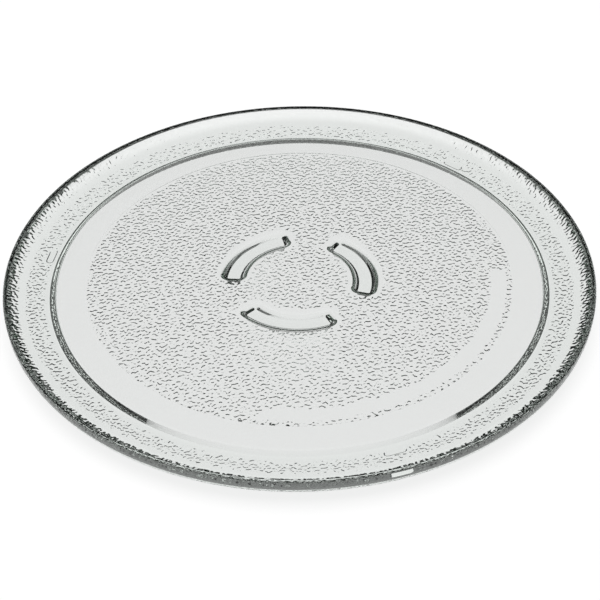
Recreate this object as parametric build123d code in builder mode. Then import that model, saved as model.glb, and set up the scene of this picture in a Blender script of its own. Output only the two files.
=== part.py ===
"""Turntable plate of a microwave oven: one piece of pressed clear glass, in millimetres.

The plate lies as it is used, serving face up. Its axis is +Z and the origin is on that axis, in the
plane of the feet, so everything is above z = 0.
"""

import os
from math import radians, tan

from build123d import *

# Disc that the food stands on
plate_diameter = 280.0
disc_thickness = 5.0

# Well under the disc, where the roller ring runs
well_depth = 5.0
well_draft = 28.0
well_root_radius = 2.0
well_edge_radius = 1.6

# Flange round the well, with a rim that is turned up a little above the disc
flange_width = 24.3
flange_flat_width = 6.0
flange_bend_radius = 25.0
rim_thickness = 10.5
rim_lower_radius = 9.0
rim_upper_radius = 1.2
lip_rise = 2.4
lip_width = 10.0
lip_bend_radius = 20.0

# Feet that the plate stands on when it is out of the oven
foot_count = 3
foot_length = 9.6
foot_width = 2.8
foot_height = 0.5
foot_draft = 45.0
foot_well_clearance = 2.5
foot_first_angle = 60.0

# Drive lugs, which the arms of the turntable coupler turn the plate by
lug_count = 3
lug_height = 4.5
lug_tip_inner_radius = 28.2
lug_tip_width = 6.6
lug_tip_span = 72.0
lug_draft = 28.0
lug_corner_radius = 2.0
lug_first_angle = 30.0

# How far a foot or a lug is carried into the glass that it grows from
root_overlap = 1.0

# Heights of the faces above the plane of the feet
flange_bottom = foot_height
disc_bottom = flange_bottom + well_depth
disc_top = disc_bottom + disc_thickness
rim_top = disc_top + lip_rise
rim_bottom = rim_top - rim_thickness
lug_tip = disc_bottom - lug_height

# Radii of the corners of the section, and of the circle that the feet stand on
plate_radius = plate_diameter / 2
well_root = plate_radius - flange_width
well_mouth = well_root + well_depth * tan(radians(well_draft))
flange_bend = well_mouth + flange_flat_width
lip_start = plate_radius - lip_width
foot_circle_radius = well_mouth + foot_well_clearance + foot_width / 2

# One lug: an arc-shaped block whose four sides are drafted from the tip to the root
with BuildPart() as drive_lug:
    with BuildSketch(Plane.XY.offset(lug_tip)):
        with BuildLine():
            inner = CenterArc((0, 0), lug_tip_inner_radius, -lug_tip_span / 2, lug_tip_span)
            outer = CenterArc((0, 0), lug_tip_inner_radius + lug_tip_width, -lug_tip_span / 2, lug_tip_span)
            Line(inner @ 0, outer @ 0)
            Line(inner @ 1, outer @ 1)
        make_face()
    extrude(amount=lug_height + root_overlap)
    lug_sides = drive_lug.faces().filter_by(Axis.Z, reverse=True)
    draft(lug_sides, neutral_plane=Plane.XY.offset(lug_tip), angle=-lug_draft)
    # The drafted end planes cut the drafted cones in parabolas
    fillet(drive_lug.edges().filter_by(GeomType.PARABOLA), lug_corner_radius)

with BuildPart() as turntable_plate:
    # Section of the disc, the well, the flange and the rounded rim, turned about the axis
    with BuildSketch(Plane.XZ):
        with BuildLine():
            outline = FilletPolyline(
                (0, disc_bottom),
                (well_root, disc_bottom),
                (well_mouth, flange_bottom),
                (flange_bend, flange_bottom),
                (plate_radius, rim_bottom),
                (plate_radius, rim_top),
                (lip_start, disc_top),
                (0, disc_top),
                radius=[
                    well_root_radius,
                    well_edge_radius,
                    flange_bend_radius,
                    rim_lower_radius,
                    rim_upper_radius,
                    lip_bend_radius,
                ],
            )
            Line(outline @ 1, outline @ 0)
        make_face()
    revolve(axis=Axis.Z)

    # Lugs round the centre of the underside
    with PolarLocations(0, lug_count, start_angle=lug_first_angle):
        add(drive_lug.part)

    # Feet: low pads on the flat of the flange, long way round the plate
    with BuildSketch(Plane.XY):
        with PolarLocations(foot_circle_radius, foot_count, start_angle=foot_first_angle):
            SlotOverall(foot_length, foot_width, rotation=90)
    extrude(amount=foot_height + root_overlap, taper=-foot_draft)

turntable_plate.part.label = "turntable_plate"
os.makedirs("parts", exist_ok=True)
export_step(turntable_plate.part, "parts/turntable_plate.step")
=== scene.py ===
"""Looks of the turntable plate: one piece of clear pressed glass on a pale floor.

The glass is one closed mesh with the form of the CAD solid. Its underside also has what pressing
leaves there: the stipple of the field, the flange and the lower rim, and the fine groove round the
field. The flanks of the lugs are hollow here, and the feet have small roundings.
Sizes of the plate are in millimetres, as in the part's source, and become metres in the mesh.
"""

from math import asin, ceil, cos, degrees, pi, radians, sin, sqrt, tan

import bpy
import numpy as np
from mathutils import Matrix, Vector
from mathutils.geometry import delaunay_2d_cdt


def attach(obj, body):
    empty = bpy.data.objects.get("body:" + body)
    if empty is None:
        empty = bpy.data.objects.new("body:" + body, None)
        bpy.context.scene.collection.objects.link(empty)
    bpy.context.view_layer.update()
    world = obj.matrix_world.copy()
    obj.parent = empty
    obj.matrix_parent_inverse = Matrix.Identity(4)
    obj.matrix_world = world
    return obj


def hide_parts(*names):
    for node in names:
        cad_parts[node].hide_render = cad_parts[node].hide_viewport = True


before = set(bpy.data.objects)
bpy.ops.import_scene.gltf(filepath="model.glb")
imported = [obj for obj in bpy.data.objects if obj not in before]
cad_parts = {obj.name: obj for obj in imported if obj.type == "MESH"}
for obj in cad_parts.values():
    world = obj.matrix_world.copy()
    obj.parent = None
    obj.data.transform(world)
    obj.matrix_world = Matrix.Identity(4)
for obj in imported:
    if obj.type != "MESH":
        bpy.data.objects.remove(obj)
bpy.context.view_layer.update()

MM = 0.001

# Form of the plate, as in the part's source
plate_radius = 140.0
disc_thickness = 5.0
well_depth = 5.0
well_draft = 28.0
well_root_radius = 2.0
well_edge_radius = 1.6
flange_width = 24.3
flange_flat_width = 6.0
flange_bend_radius = 25.0
rim_thickness = 10.5
rim_upper_radius = 1.2
rim_lower_radius = 9.0
lip_rise = 2.4
lip_width = 10.0
lip_bend_radius = 20.0
foot_count = 3
foot_length = 9.6
foot_width = 2.8
foot_height = 0.5
foot_draft = 45.0
foot_well_clearance = 2.5
foot_first_angle = 60.0
lug_count = 3
lug_height = 4.5
lug_tip_inner_radius = 28.2
lug_tip_width = 6.6
lug_tip_span = 72.0
lug_first_angle = 30.0

# Small roundings of the feet, and the flat inside and outside them
foot_edge_radius = 0.15
foot_root_radius = 0.15
foot_flat_inset = 0.8
foot_apron = 0.3

# Lugs: corners tighter than in the part's source, and hollow flanks, steep at the tip and running out
# at the disc. Widths count from the outline of the tip in the part's source.
lug_corner_radius = 1.2
lug_flat_inset = 1.1
lug_edge_inset = 0.3
lug_edge_radius = 0.15
lug_hollow_width = 1.075
lug_hollow_height = 3.24
lug_hollow_radius = 5.8
lug_root_width = 3.26
lug_root_radius = 2.0
lug_margin = 4.5

# Stipple: waves in many directions, flattened a little where they are highest and lowest, in the
# field, which ends in a groove, and in rings of the flange and of the lower rim
field_radius = 101.8
groove_half_width = 0.3
groove_depth = 0.12
flange_stipple_zones = ((120.3, 131.0), (133.8, 139.3))
stipple_fade = 0.8
stipple_pitch = 2.4
stipple_pitch_spread = 0.5
stipple_wave_count = 24
stipple_gain = 0.5
stipple_relief = 0.05
stipple_bump = 0.175
stipple_seed = 4

# Bare band in the field, an arc without stipple
band_inner_radius = 90.5
band_outer_radius = 98.5
band_first_angle = -90.0
band_last_angle = 13.0

# Mesh: spacing of its points, and how far its seams lie from the edges they go by
grain = 0.95
half_grain = grain / 2
top_grain = 14.0
ring_count = 400
arc_step = 0.4
arc_turn = 12.0
lug_side_points = 61
lug_corner_points = 8
foot_cap_points = 13
merge_distance = 1e-6
seam_gap = 1.2
rim_seam_inset = 2.5
top_seam_inset = 6.0

# Camera, fitted to the outline of the plate in a picture of 600 x 600
picture_size = 600
plate_turn = 10.9
camera_elevation = 39.14
camera_target_height = 9.9
camera_distance = 900.0
camera_roll = 1.0
pixels_per_mm = 2.1031
axis_pixel = (299.22, 275.31)
sensor_width = 36.0

# Light: a pale floor, a grey room and soft boxes, placed in metres as the view sees them
floor_half = 3.0
floor_drop = 0.0002
floor_grey = 0.6
floor_glow = 0.59
room_horizon = 0.5
room_middle = 0.09
room_middle_height = 0.5
room_ceiling = 0.15
overhead_place = (0.0, 0.1, 1.2)
overhead_size = (1.2, 1.2)
overhead_power = 11.0
side_place = (-1.2, 0.5, 0.9)
side_size = (0.8, 0.8)
side_power = 1.2

# Glass
glass_ior = 1.52
glass_tint = (0.50, 0.76, 0.58, 1.0)
glass_density = 7.0
shadow_tint = (0.78, 0.78, 0.78, 1.0)

# Heights and radii that follow from the sizes above
flange_bottom = foot_height
disc_bottom = flange_bottom + well_depth
disc_top = disc_bottom + disc_thickness
rim_top = disc_top + lip_rise
rim_bottom = rim_top - rim_thickness
lug_tip = disc_bottom - lug_height
well_root = plate_radius - flange_width
well_mouth = well_root + well_depth * tan(radians(well_draft))
flange_bend = well_mouth + flange_flat_width
lip_start = plate_radius - lip_width
foot_circle_radius = well_mouth + foot_well_clearance + foot_width / 2
lug_middle_radius = lug_tip_inner_radius + lug_tip_width / 2
foot_root_offset = foot_height * tan(radians(foot_draft))
foot_margin = foot_root_offset + foot_apron

# Circles where one way of meshing hands over to the next
field_seam = field_radius + seam_gap
flange_seam = well_mouth + seam_gap
rim_seam = plate_radius - rim_seam_inset
top_seam = lip_start - top_seam_inset


def rounded(points, radii):
    """Open outline through points, with a round corner of each radius at the points between the ends."""
    outline = [np.array(points[0])]
    for before, corner, after, radius in zip(points, points[1:], points[2:], radii):
        to_before = np.array(before) - corner
        to_after = np.array(after) - corner
        to_before /= np.linalg.norm(to_before)
        to_after /= np.linalg.norm(to_after)
        opening = np.arccos(np.clip(to_before @ to_after, -1.0, 1.0))
        bisector = (to_before + to_after) / np.linalg.norm(to_before + to_after)
        centre = corner + bisector * radius / sin(opening / 2)
        turn = pi - opening
        steps = max(2, ceil(turn * radius / arc_step), ceil(degrees(turn) / arc_turn))
        across = to_before - to_after
        across /= np.linalg.norm(across)
        for step in range(steps + 1):
            angle = turn / 2 - turn * step / steps
            outline.append(centre + radius * (across * sin(angle) - bisector * cos(angle)))
    outline.append(np.array(points[-1]))
    return np.array(outline)


def wave_table():
    """Wave vectors per millimetre and phases of the stipple."""
    random = np.random.default_rng(stipple_seed)
    # Evenly round half a turn, each moved by up to half a step
    spread = random.uniform(-0.5, 0.5, stipple_wave_count)
    direction = pi * (np.arange(stipple_wave_count) + spread) / stipple_wave_count
    pitch = stipple_pitch * (1 + stipple_pitch_spread * random.uniform(-1, 1, stipple_wave_count))
    phase = random.uniform(0, 2 * pi, stipple_wave_count)
    return np.stack([np.cos(direction), np.sin(direction)], axis=1) * (2 * pi / pitch)[:, None], phase


wave_vectors, wave_phases = wave_table()
# Brings the sum of the waves to a standard deviation of 1
wave_scale = sqrt(2 / stipple_wave_count)


def stipple(x, y):
    """Height of the stipple at a place, from -1 to 1."""
    total = np.zeros_like(x)
    for (wave_x, wave_y), phase in zip(wave_vectors, wave_phases):
        total += np.sin(wave_x * x + wave_y * y + phase)
    return np.tanh(stipple_gain * wave_scale * total)


def turn_to(x, y, angle):
    """The places x, y as seen from a frame turned by angle degrees."""
    c, s = cos(radians(angle)), sin(radians(angle))
    return c * x + s * y, c * y - s * x


def pattern_angles(first, count):
    """Angles of a pattern round the axis."""
    return [first + 360 * step / count for step in range(count)]


def moved_on(loop):
    """A loop of points that starts one point later."""
    return loop[1:] + loop[:1]


class Shell:
    """Points and triangles of the glass, in millimetres, and how much stipple each point has."""

    def __init__(self):
        self.points = []
        self.stippled = []
        self.triangles = []

    def add(self, x, y, z, stippled=0.0):
        """New points, whose numbers are given back."""
        x, y, z, stippled = np.broadcast_arrays(x, y, z, stippled)
        first = len(self.points)
        self.points += zip(x.tolist(), y.tolist(), z.tolist())
        self.stippled += stippled.tolist()
        return list(range(first, len(self.points)))

    def ring(self, radius, height, stippled=0.0):
        """A circle of points about the axis."""
        angle = np.arange(ring_count) * 2 * pi / ring_count
        return self.add(radius * np.cos(angle), radius * np.sin(angle), height, stippled)

    def revolve(self, first_ring, outline):
        """Bands of triangles from a ring along the rest of an outline, ending in the ring given back."""
        before = first_ring
        for radius, height in outline[1:]:
            # Only the underside is stippled
            stippled = flange_stipple(radius) if height < disc_top else 0.0
            after = self.ring(radius, height, stippled)
            for near, far, near_next, far_next in zip(before, after, moved_on(before), moved_on(after)):
                self.triangles += [(near, near_next, far_next), (near, far_next, far)]
            before = after
        return before

    def fill(self, loops, loose, facing, hole_radius=0.0):
        """Triangles in plan between loops and loose points, outside a hole about the axis."""
        used = [number for loop in loops for number in loop] + loose
        place = {number: index for index, number in enumerate(used)}
        edges = [(place[a], place[b]) for loop in loops for a, b in zip(loop, moved_on(loop))]
        plan = [Vector(self.points[number][:2]) for number in used]
        faces = delaunay_2d_cdt(plan, edges, [], 0, merge_distance, False)[2]
        for face in faces:
            corners = [used[index] for index in face]
            middle = np.mean([self.points[number][:2] for number in corners], axis=0)
            if np.hypot(*middle) > hole_radius:
                self.triangles.append(tuple(corners if facing > 0 else corners[::-1]))


def hex_grid(reach, pitch):
    """Points of a triangular lattice inside a circle."""
    rows = int(reach / (pitch * sqrt(3) / 2)) + 1
    columns = int(reach / pitch) + 1
    i, j = np.meshgrid(np.arange(-columns, columns + 1), np.arange(-rows, rows + 1))
    x = (i + 0.5 * (j % 2)) * pitch
    y = j * pitch * sqrt(3) / 2
    inside = np.hypot(x, y) < reach
    return x[inside], y[inside]


def lug_offset(x, y, angle):
    """Distance in plan from a lug's tip outline, negative inside."""
    x, y = turn_to(x, y, angle)
    radius = np.hypot(x, y)
    past_span = np.clip(np.abs(np.arctan2(y, x)) - radians(lug_tip_span / 2), -pi / 2, pi / 2)
    past_end = radius * np.sin(past_span) + lug_corner_radius
    past_side = np.abs(radius - lug_middle_radius) - lug_tip_width / 2 + lug_corner_radius
    outside = np.hypot(np.maximum(past_end, 0), np.maximum(past_side, 0))
    return outside + np.minimum(np.maximum(past_end, past_side), 0) - lug_corner_radius


def lug_loop(offset, angle):
    """Closed outline in plan at a distance from a lug's tip outline, with rounded corners."""
    corner = lug_corner_radius + offset
    outer = lug_middle_radius + lug_tip_width / 2 - lug_corner_radius
    inner = lug_middle_radius - lug_tip_width / 2 + lug_corner_radius
    end = radians(lug_tip_span / 2)
    outer_end = end - asin(lug_corner_radius / outer)
    inner_end = end - asin(lug_corner_radius / inner)
    # Points as complex numbers, once round from the outer side
    along = np.linspace(-1, 1, lug_side_points)[1:-1]
    outer_turn = np.exp(1j * np.linspace(outer_end, end + pi / 2, lug_corner_points))
    inner_turn = np.exp(1j * np.linspace(end + pi / 2, inner_end + pi, lug_corner_points))
    outer_side = (outer + corner) * np.exp(1j * outer_end * along)
    inner_side = (inner - corner) * np.exp(-1j * inner_end * along)
    outer_corner = outer * np.exp(1j * outer_end) + corner * outer_turn
    inner_corner = inner * np.exp(1j * inner_end) + corner * inner_turn
    turns = np.concatenate([outer_corner, inner_corner])
    outline = np.concatenate([outer_side, turns, inner_side, turns.conj()[::-1]])
    return turn_to(outline.real, outline.imag, -angle)


def foot_offset(x, y, angle):
    """Distance in plan from a foot's outline, negative inside."""
    x, y = turn_to(x, y, angle)
    straight = (foot_length - foot_width) / 2
    return np.hypot(x - foot_circle_radius, np.maximum(np.abs(y) - straight, 0)) - foot_width / 2


def foot_loop(offset, angle):
    """Closed outline in plan at a distance from a foot's outline."""
    radius = foot_width / 2 + offset
    straight = (foot_length - foot_width) / 2
    cap = np.linspace(0, pi, foot_cap_points)
    x = foot_circle_radius + radius * np.concatenate([np.cos(cap), -np.cos(cap)])
    y = np.concatenate([straight + radius * np.sin(cap), -straight - radius * np.sin(cap)])
    return turn_to(x, y, -angle)


def nearest(offset_of, angles, x, y):
    """Smallest distance in plan to any of a pattern's outlines."""
    return np.min([offset_of(x, y, angle) for angle in angles], axis=0)


def fade(inside):
    """0 outside a zone, 1 well inside it, from the distance inside its edge."""
    return np.clip(inside / stipple_fade, 0.0, 1.0)


def flange_stipple(radius):
    """How much stipple the underside has at a radius of the flange or of the lower rim."""
    return sum(fade(radius - start) * fade(end - radius) for start, end in flange_stipple_zones)


def in_band(x, y):
    """Distance inside the bare band, negative outside it."""
    radius = np.hypot(x, y)
    middle = (band_first_angle + band_last_angle) / 2
    half_span = radians(band_last_angle - band_first_angle) / 2
    turned_x, turned_y = turn_to(x, y, middle)
    across = np.minimum(radius - band_inner_radius, band_outer_radius - radius)
    return np.minimum(across, radius * (half_span - np.abs(np.arctan2(turned_y, turned_x))))


def add_field(shell):
    """Underside inside the roller track: stipple, lugs and groove. Gives back its outer ring."""
    lug_angles = pattern_angles(lug_first_angle, lug_count)
    flank = rounded(
        [
            (-lug_flat_inset, lug_tip),
            (-lug_edge_inset, lug_tip),
            (lug_hollow_width, lug_tip + lug_hollow_height),
            (lug_root_width, disc_bottom),
            (lug_margin, disc_bottom),
        ],
        [lug_edge_radius, lug_hollow_radius, lug_root_radius],
    )
    loops = []
    for angle in lug_angles:
        for offset, height in flank[1:]:
            x, y = lug_loop(offset, angle)
            loops.append(shell.add(x, y, height))
    for radius, rise in ((-groove_half_width, 0.0), (0.0, groove_depth), (groove_half_width, 0.0)):
        loops.append(shell.ring(field_radius + radius, disc_bottom + rise))
    outer_ring = shell.ring(field_seam, disc_bottom)
    loops.append(outer_ring)
    x, y = hex_grid(field_radius - groove_half_width - half_grain, grain)
    clear = nearest(lug_offset, lug_angles, x, y) - lug_margin
    kept = clear > half_grain
    x, y, clear = x[kept], y[kept], clear[kept]
    from_groove = field_radius - groove_half_width - np.hypot(x, y)
    amount = fade(clear) * fade(from_groove) * (1 - fade(in_band(x, y)))
    loose = shell.add(x, y, disc_bottom + stipple_relief * amount * stipple(x, y), amount)
    shell.fill(loops, loose, facing=-1)
    return outer_ring


def add_flange(shell, inner_ring, outer_ring, outline):
    """Underside of the flange between two rings: stipple and feet, on the slope of the outline."""
    foot_angles = pattern_angles(foot_first_angle, foot_count)
    side = rounded(
        [
            (-foot_flat_inset, 0.0),
            (0.0, 0.0),
            (foot_root_offset, foot_height),
            (foot_margin, foot_height),
        ],
        [foot_edge_radius, foot_root_radius],
    )
    loops = [inner_ring, outer_ring]
    for angle in foot_angles:
        for offset, height in side:
            x, y = foot_loop(offset, angle)
            ground = np.interp(np.hypot(x, y), outline[:, 0], outline[:, 1])
            loops.append(shell.add(x, y, height + (ground - flange_bottom) * height / foot_height))
    x, y = hex_grid(rim_seam - half_grain, grain)
    radius = np.hypot(x, y)
    clear = nearest(foot_offset, foot_angles, x, y) - foot_margin
    kept = (radius > flange_seam + half_grain) & (clear > half_grain)
    x, y, radius, clear = x[kept], y[kept], radius[kept], clear[kept]
    amount = fade(clear) * flange_stipple(radius)
    ground = np.interp(radius, outline[:, 0], outline[:, 1])
    loose = shell.add(x, y, ground + stipple_relief * amount * stipple(x, y), amount)
    shell.fill(loops, loose, facing=-1, hole_radius=flange_seam)


def plate_mesh():
    """The whole plate as one closed mesh."""
    shell = Shell()
    wall_line = rounded(
        [
            (field_seam, disc_bottom),
            (well_root, disc_bottom),
            (well_mouth, flange_bottom),
            (flange_seam, flange_bottom),
        ],
        [well_root_radius, well_edge_radius],
    )
    outer_line = rounded(
        [
            (flange_seam, flange_bottom),
            (flange_bend, flange_bottom),
            (plate_radius, rim_bottom),
            (plate_radius, rim_top),
            (lip_start, disc_top),
            (top_seam, disc_top),
        ],
        [flange_bend_radius, rim_lower_radius, rim_upper_radius, lip_bend_radius],
    )
    split = np.argmax(outer_line[:, 0] > rim_seam)
    flange_line = outer_line[: split + 1]
    seam_height = np.interp(rim_seam, flange_line[:, 0], flange_line[:, 1])
    field_ring = add_field(shell)
    flange_ring = shell.revolve(field_ring, wall_line)
    rim_ring = shell.ring(rim_seam, seam_height, flange_stipple(rim_seam))
    add_flange(shell, flange_ring, rim_ring, flange_line)
    top_ring = shell.revolve(rim_ring, outer_line[split - 1 :])
    x, y = hex_grid(top_seam - top_grain / 2, top_grain)
    shell.fill([top_ring], shell.add(x, y, disc_top), facing=1)

    mesh = bpy.data.meshes.new("turntable_plate_glass")
    mesh.from_pydata((np.array(shell.points) * MM).tolist(), [], shell.triangles)
    mesh.attributes.new("stippled", "FLOAT", "POINT").data.foreach_set("value", shell.stippled)
    mesh.polygons.foreach_set("use_smooth", [True] * len(mesh.polygons))
    mesh.update()
    return mesh


def math_node(tree, operation, *values):
    """A Math node on sockets or numbers; its output."""
    node = tree.nodes.new("ShaderNodeMath")
    node.operation = operation
    for socket, value in zip(node.inputs, values):
        if isinstance(value, bpy.types.NodeSocket):
            tree.links.new(value, socket)
        else:
            socket.default_value = value
    return node.outputs[0]


def stipple_socket(tree):
    """The stipple as shader nodes: the same waves as the mesh has, between its points too."""
    place = tree.nodes.new("ShaderNodeTexCoord").outputs["Object"]
    total = 0.0
    for (wave_x, wave_y), phase in zip(wave_vectors, wave_phases):
        along = tree.nodes.new("ShaderNodeVectorMath")
        along.operation = "DOT_PRODUCT"
        along.inputs[1].default_value = (wave_x / MM, wave_y / MM, 0.0)
        tree.links.new(place, along.inputs[0])
        wave = math_node(tree, "SINE", math_node(tree, "ADD", along.outputs["Value"], float(phase)))
        total = math_node(tree, "ADD", wave, total)
    amount = tree.nodes.new("ShaderNodeAttribute")
    amount.attribute_name = "stippled"
    height = math_node(tree, "TANH", math_node(tree, "MULTIPLY", total, stipple_gain * wave_scale))
    height = math_node(tree, "MULTIPLY", height, amount.outputs["Fac"])
    # Seen from inside the glass, a bump counts the other way round
    back = tree.nodes.new("ShaderNodeNewGeometry").outputs["Backfacing"]
    return math_node(tree, "MULTIPLY", height, math_node(tree, "MULTIPLY_ADD", back, 2.0, -1.0))


def clear_glass():
    """Clear soda-lime glass, faintly green where it is thick, with the stipple as a bump."""
    material = bpy.data.materials.new("clear_glass")
    material.use_nodes = True
    tree = material.node_tree
    surface = tree.nodes["Principled BSDF"]
    surface.inputs["Base Color"].default_value = (1.0, 1.0, 1.0, 1.0)
    surface.inputs["Roughness"].default_value = 0.0
    surface.inputs["IOR"].default_value = glass_ior
    surface.inputs["Transmission Weight"].default_value = 1.0
    bump = tree.nodes.new("ShaderNodeBump")
    bump.inputs["Distance"].default_value = stipple_bump * MM
    tree.links.new(stipple_socket(tree), bump.inputs["Height"])
    tree.links.new(bump.outputs["Normal"], surface.inputs["Normal"])

    # Light reaches the floor through the glass, a little weakened
    passed = tree.nodes.new("ShaderNodeBsdfTransparent")
    passed.inputs["Color"].default_value = shadow_tint
    path = tree.nodes.new("ShaderNodeLightPath")
    either = tree.nodes.new("ShaderNodeMixShader")
    to_light = math_node(tree, "MAXIMUM", path.outputs["Is Shadow Ray"], path.outputs["Is Diffuse Ray"])
    tree.links.new(to_light, either.inputs["Fac"])
    tree.links.new(surface.outputs["BSDF"], either.inputs[1])
    tree.links.new(passed.outputs["BSDF"], either.inputs[2])
    output = tree.nodes["Material Output"]
    tree.links.new(either.outputs["Shader"], output.inputs["Surface"])

    absorption = tree.nodes.new("ShaderNodeVolumeAbsorption")
    absorption.inputs["Color"].default_value = glass_tint
    absorption.inputs["Density"].default_value = glass_density
    tree.links.new(absorption.outputs["Volume"], output.inputs["Volume"])
    return material


def seen_white(tree):
    """1 where the eye meets a surface, directly or through the glass, and 0 elsewhere."""
    path = tree.nodes.new("ShaderNodeLightPath")
    seen = math_node(tree, "MAXIMUM", path.outputs["Is Camera Ray"], path.outputs["Is Glossy Ray"])
    return math_node(tree, "MAXIMUM", seen, path.outputs["Is Transmission Ray"])


def add_floor():
    """Pale floor under the feet, white where it is seen, with the shadow of the plate."""
    h = floor_half
    mesh = bpy.data.meshes.new("floor")
    mesh.from_pydata([(-h, -h, 0), (h, -h, 0), (h, h, 0), (-h, h, 0)], [], [(0, 1, 2, 3)])
    floor = bpy.data.objects.new("floor", mesh)
    floor.location.z = -floor_drop
    bpy.context.collection.objects.link(floor)
    material = bpy.data.materials.new("pale_floor")
    material.use_nodes = True
    tree = material.node_tree
    lit = tree.nodes["Principled BSDF"]
    lit.inputs["Base Color"].default_value = (floor_grey, floor_grey, floor_grey, 1.0)
    lit.inputs["Roughness"].default_value = 1.0
    lit.inputs["Specular IOR Level"].default_value = 0.0
    white = tree.nodes.new("ShaderNodeEmission")
    tree.links.new(math_node(tree, "MULTIPLY", seen_white(tree), floor_glow), white.inputs["Strength"])
    both = tree.nodes.new("ShaderNodeAddShader")
    tree.links.new(lit.outputs["BSDF"], both.inputs[0])
    tree.links.new(white.outputs["Emission"], both.inputs[1])
    tree.links.new(both.outputs["Shader"], tree.nodes["Material Output"].inputs["Surface"])
    mesh.materials.append(material)


def photo_frame():
    """Right and away directions of the view, in plan."""
    turn = radians(plate_turn)
    return Vector((cos(turn), sin(turn), 0.0)), Vector((-sin(turn), cos(turn), 0.0))


def add_light(name, place, size, power):
    """A soft box that lights the floor and stays out of the mirror images in the glass."""
    view_right, view_away = photo_frame()
    right, away, height = place
    lamp = bpy.data.lights.new(name, "AREA")
    lamp.shape = "RECTANGLE"
    lamp.size, lamp.size_y = size
    lamp.energy = power
    light = bpy.data.objects.new(name, lamp)
    light.location = view_right * right + view_away * away + Vector((0.0, 0.0, height))
    light.rotation_euler = (-light.location).to_track_quat("-Z", "Y").to_euler()
    light.visible_glossy = False
    light.visible_transmission = False
    bpy.context.collection.objects.link(light)


def add_world():
    """Plain grey room: palest low down, darkest half way up."""
    world = bpy.data.worlds.new("room")
    world.use_nodes = True
    tree = world.node_tree
    upward = tree.nodes.new("ShaderNodeSeparateXYZ")
    tree.links.new(tree.nodes.new("ShaderNodeTexCoord").outputs["Generated"], upward.inputs["Vector"])
    ramp = tree.nodes.new("ShaderNodeValToRGB")
    stops = ramp.color_ramp.elements
    stops.new(room_middle_height)
    for stop, grey in zip(stops, (room_horizon, room_middle, room_ceiling)):
        stop.color = (grey, grey, grey, 1.0)
    tree.links.new(upward.outputs["Z"], ramp.inputs["Fac"])
    tree.links.new(ramp.outputs["Color"], tree.nodes["Background"].inputs["Color"])
    bpy.context.scene.world = world


def add_camera():
    """Camera at the viewing angle of the picture."""
    view_right, view_away = photo_frame()
    elevation = radians(camera_elevation)
    roll = radians(camera_roll)
    forward = view_away * cos(elevation) + Vector((0.0, 0.0, -sin(elevation)))
    upward = view_away * sin(elevation) + Vector((0.0, 0.0, cos(elevation)))
    right = view_right * cos(roll) - upward * sin(roll)
    up = view_right * sin(roll) + upward * cos(roll)
    target = Vector((0.0, 0.0, camera_target_height * MM))
    place = target - forward * camera_distance * MM
    camera = bpy.data.cameras.new("camera")
    camera.sensor_width = sensor_width
    camera.lens = sensor_width * pixels_per_mm * camera_distance / picture_size
    camera.shift_x = (picture_size / 2 - axis_pixel[0]) / picture_size
    camera.shift_y = (axis_pixel[1] - picture_size / 2) / picture_size
    holder = bpy.data.objects.new("camera", camera)
    holder.matrix_world = Matrix((right, up, -forward)).transposed().to_4x4()
    holder.location = place
    bpy.context.collection.objects.link(holder)
    bpy.context.scene.camera = holder


plate = bpy.data.objects.new("turntable_plate_glass", plate_mesh())
bpy.context.collection.objects.link(plate)
plate.data.materials.append(clear_glass())
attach(plate, "root")
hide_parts("turntable_plate")

add_floor()
add_world()
add_light("overhead_box", overhead_place, overhead_size, overhead_power)
add_light("side_box", side_place, side_size, side_power)
add_camera()
bpy.context.scene.view_settings.view_transform = "Standard"
